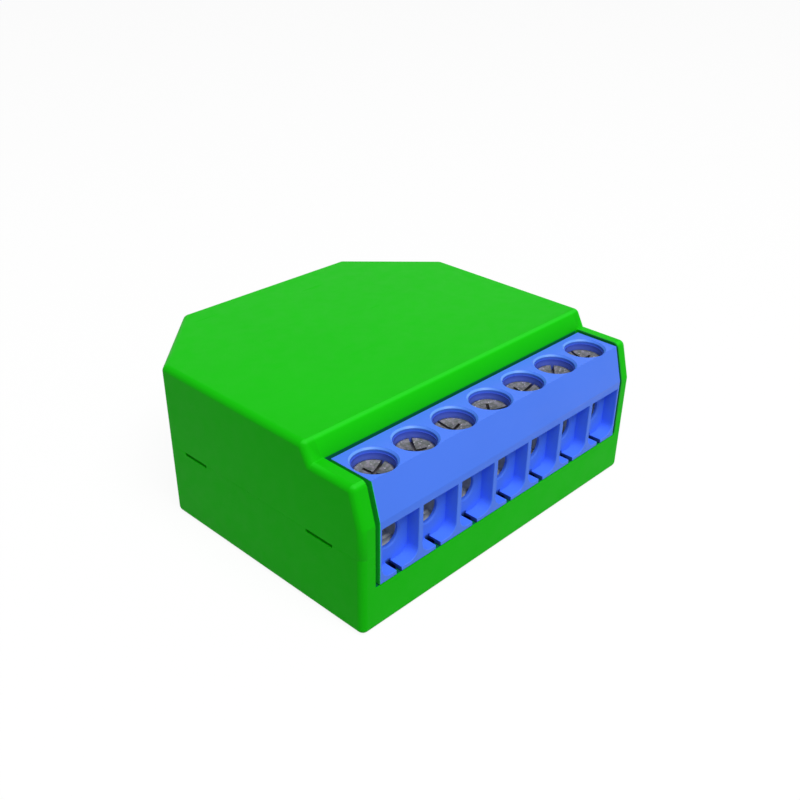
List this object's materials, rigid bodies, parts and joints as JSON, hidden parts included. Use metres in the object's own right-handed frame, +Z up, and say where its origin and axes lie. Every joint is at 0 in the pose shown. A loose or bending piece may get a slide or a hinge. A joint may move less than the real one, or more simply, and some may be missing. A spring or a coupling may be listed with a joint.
{
  "type": "smart dimmer module",
  "caption": "Flush in-wall dimmer module: two-part snap-fit housing with bevelled back corners and a front row of rising-clamp screw terminals, with its boards and parts inside.",
  "frame": {"origin": "centre of the footprint on the bottom face", "axes": "+X along the terminal row, +Y from the terminal face to the back wall, +Z up to the cover"},
  "size_m": [0.042, 0.0378, 0.0179],
  "materials": {
    "cover_plastic": "satin",
    "housing_plastic": "satin",
    "terminal_plastic": "satin",
    "screw_nickel": "nickel plated",
    "clamp_steel": "zinc plated",
    "contact_metal": "tinned",
    "board_laminate": "solder mask",
    "control_laminate": "solder mask",
    "black_resin": "moulded",
    "pin_metal": "gold flash",
    "spreader_aluminium": "mill",
    "pad_silicone": "soft",
    "yellow_case": "moulded",
    "blue_coating": "dipped",
    "green_coating": "lacquer",
    "can_aluminium": "sleeved",
    "ferrite": "sleeved",
    "white_resin": "moulded",
    "shield_tin": "tinned",
    "ceramic": "fired"
  },
  "bodies": {
    "housing": {"top_cover": "cover_plastic", "bottom_housing": "housing_plastic", "terminal_housing": "terminal_plastic", "contact_bars": "contact_metal", "main_board": "board_laminate", "control_board": "control_laminate", "header_strip": "black_resin", "header_pins": "pin_metal", "power_transistor_1": "black_resin", "power_transistor_2": "black_resin", "heat_spreader": "spreader_aluminium", "thermal_pad": "pad_silicone", "gate_driver": "black_resin", "sense_resistor": "black_resin", "film_capacitor": "yellow_case", "varistor": "blue_coating", "fusible_resistor": "green_coating", "bulk_capacitor_1": "can_aluminium", "bulk_capacitor_2": "can_aluminium", "smoothing_capacitor": "can_aluminium", "supply_choke": "ferrite", "optocoupler": "white_resin", "supply_controller": "black_resin", "bridge_rectifier": "black_resin", "input_resistors": "black_resin", "microcontroller": "black_resin", "radio_chip": "black_resin", "radio_crystal": "shield_tin", "radio_shield": "shield_tin", "memory_chip": "black_resin", "voltage_regulator": "black_resin", "chip_antenna": "white_resin", "control_capacitors": "ceramic"},
    "screw_1": {"terminal_screw_1": "screw_nickel"},
    "clamp_1": {"clamp_cage_1": "clamp_steel"},
    "screw_2": {"terminal_screw_2": "screw_nickel"},
    "clamp_2": {"clamp_cage_2": "clamp_steel"},
    "screw_3": {"terminal_screw_3": "screw_nickel"},
    "clamp_3": {"clamp_cage_3": "clamp_steel"},
    "screw_4": {"terminal_screw_4": "screw_nickel"},
    "clamp_4": {"clamp_cage_4": "clamp_steel"},
    "screw_5": {"terminal_screw_5": "screw_nickel"},
    "clamp_5": {"clamp_cage_5": "clamp_steel"},
    "screw_6": {"terminal_screw_6": "screw_nickel"},
    "clamp_6": {"clamp_cage_6": "clamp_steel"},
    "screw_7": {"terminal_screw_7": "screw_nickel"},
    "clamp_7": {"clamp_cage_7": "clamp_steel"}
  },
  "joints": [
    {"name": "screw_1_turn", "type": "hinge", "parent": "housing", "child": "screw_1", "pos_m": [-0.0162, -0.01555, 0.014], "axis": [0, 0, -1], "range_deg": [0, 1440]},
    {"name": "clamp_1_rise", "type": "slide", "parent": "housing", "child": "clamp_1", "axis": [0, 0, 1], "range_m": [0, 0.0018]},
    {"name": "screw_2_turn", "type": "hinge", "parent": "housing", "child": "screw_2", "pos_m": [-0.0108, -0.01555, 0.014], "axis": [0, 0, -1], "range_deg": [0, 1440]},
    {"name": "clamp_2_rise", "type": "slide", "parent": "housing", "child": "clamp_2", "axis": [0, 0, 1], "range_m": [0, 0.0018]},
    {"name": "screw_3_turn", "type": "hinge", "parent": "housing", "child": "screw_3", "pos_m": [-0.0054, -0.01555, 0.014], "axis": [0, 0, -1], "range_deg": [0, 1440]},
    {"name": "clamp_3_rise", "type": "slide", "parent": "housing", "child": "clamp_3", "axis": [0, 0, 1], "range_m": [0, 0.0018]},
    {"name": "screw_4_turn", "type": "hinge", "parent": "housing", "child": "screw_4", "pos_m": [0, -0.01555, 0.014], "axis": [0, 0, -1], "range_deg": [0, 1440]},
    {"name": "clamp_4_rise", "type": "slide", "parent": "housing", "child": "clamp_4", "axis": [0, 0, 1], "range_m": [0, 0.0018]},
    {"name": "screw_5_turn", "type": "hinge", "parent": "housing", "child": "screw_5", "pos_m": [0.0054, -0.01555, 0.014], "axis": [0, 0, -1], "range_deg": [0, 1440]},
    {"name": "clamp_5_rise", "type": "slide", "parent": "housing", "child": "clamp_5", "axis": [0, 0, 1], "range_m": [0, 0.0018]},
    {"name": "screw_6_turn", "type": "hinge", "parent": "housing", "child": "screw_6", "pos_m": [0.0108, -0.01555, 0.014], "axis": [0, 0, -1], "range_deg": [0, 1440]},
    {"name": "clamp_6_rise", "type": "slide", "parent": "housing", "child": "clamp_6", "axis": [0, 0, 1], "range_m": [0, 0.0018]},
    {"name": "screw_7_turn", "type": "hinge", "parent": "housing", "child": "screw_7", "pos_m": [0.0162, -0.01555, 0.014], "axis": [0, 0, -1], "range_deg": [0, 1440]},
    {"name": "clamp_7_rise", "type": "slide", "parent": "housing", "child": "clamp_7", "axis": [0, 0, 1], "range_m": [0, 0.0018]}
  ],
  "couplings": [
    {"joint": "screw_1_turn", "follows": "clamp_1_rise", "rad_per_m": 13963},
    {"joint": "screw_2_turn", "follows": "clamp_2_rise", "rad_per_m": 13963},
    {"joint": "screw_3_turn", "follows": "clamp_3_rise", "rad_per_m": 13963},
    {"joint": "screw_4_turn", "follows": "clamp_4_rise", "rad_per_m": 13963},
    {"joint": "screw_5_turn", "follows": "clamp_5_rise", "rad_per_m": 13963},
    {"joint": "screw_6_turn", "follows": "clamp_6_rise", "rad_per_m": 13963},
    {"joint": "screw_7_turn", "follows": "clamp_7_rise", "rad_per_m": 13963}
  ]
}
